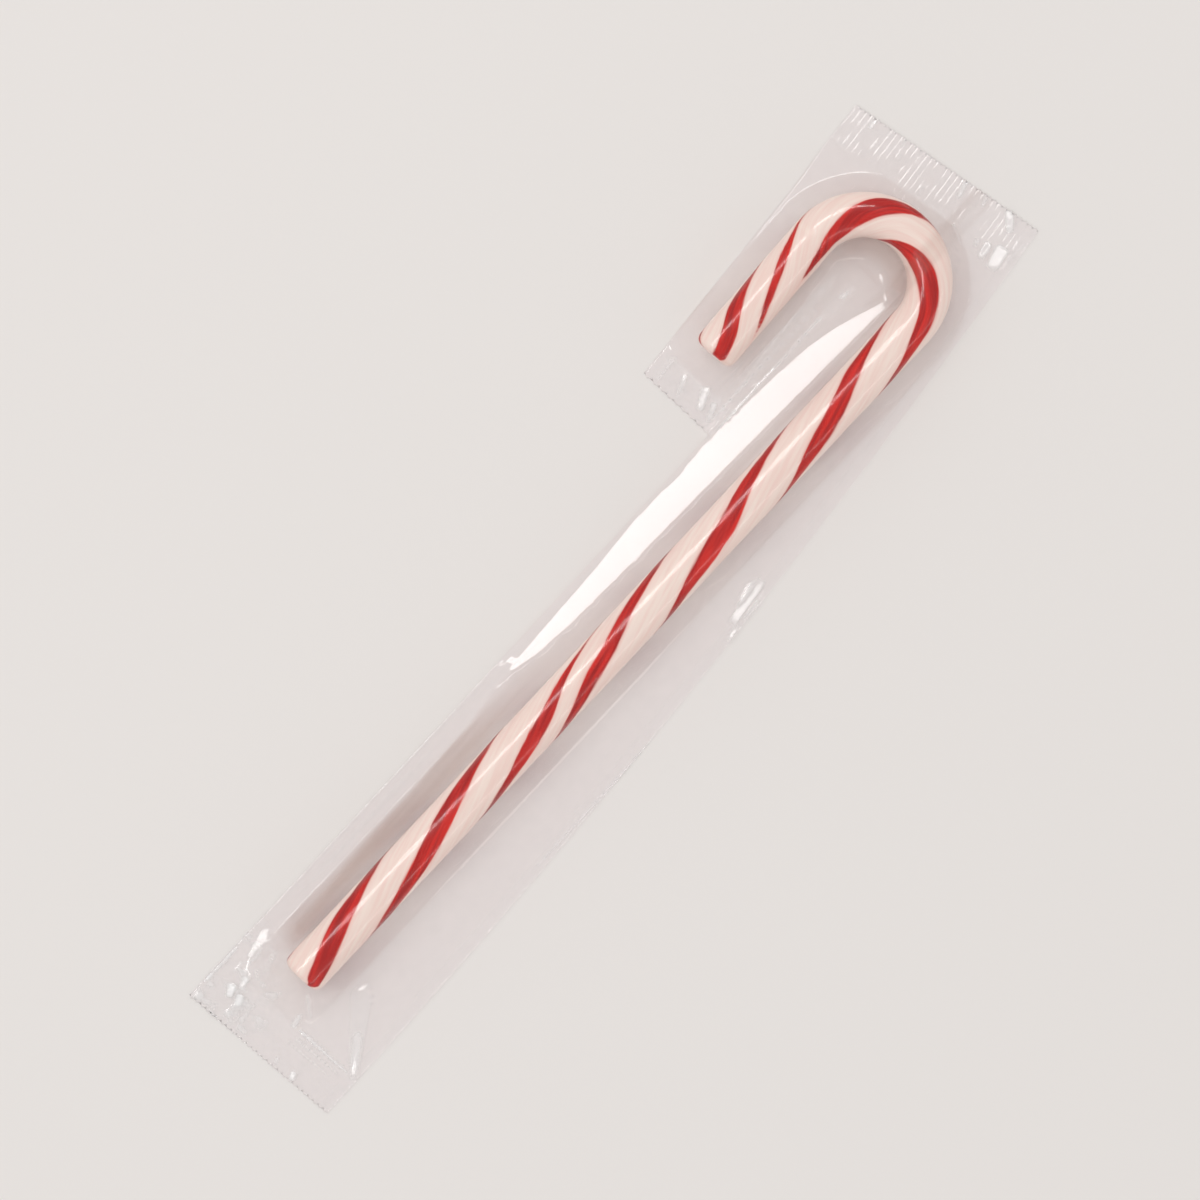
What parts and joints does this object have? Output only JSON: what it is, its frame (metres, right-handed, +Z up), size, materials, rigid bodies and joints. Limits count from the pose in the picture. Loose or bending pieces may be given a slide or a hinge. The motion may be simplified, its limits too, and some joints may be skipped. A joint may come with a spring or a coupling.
{
  "type": "wrapped candy cane",
  "caption": "Hook-shaped stick of twisted red and white peppermint candy in a clear flat film wrapper with crimped seals, lying flat.",
  "frame": {"origin": "centre of the underside of the object's box, on the surface it lies on", "axes": "+Y along the cane's straight shaft towards the hook, +Z up from the surface it lies on, +X to the shaft's right seen from above, away from the tip"},
  "size_m": [0.0476, 0.1778, 0.0079],
  "materials": {
    "candy": "glossy boiled sugar, cream white with red stripes that twist round it",
    "film": "clear glossy film"
  },
  "bodies": {
    "root": {"candy_cane": "candy", "wrapper": "film"}
  },
  "joints": []
}
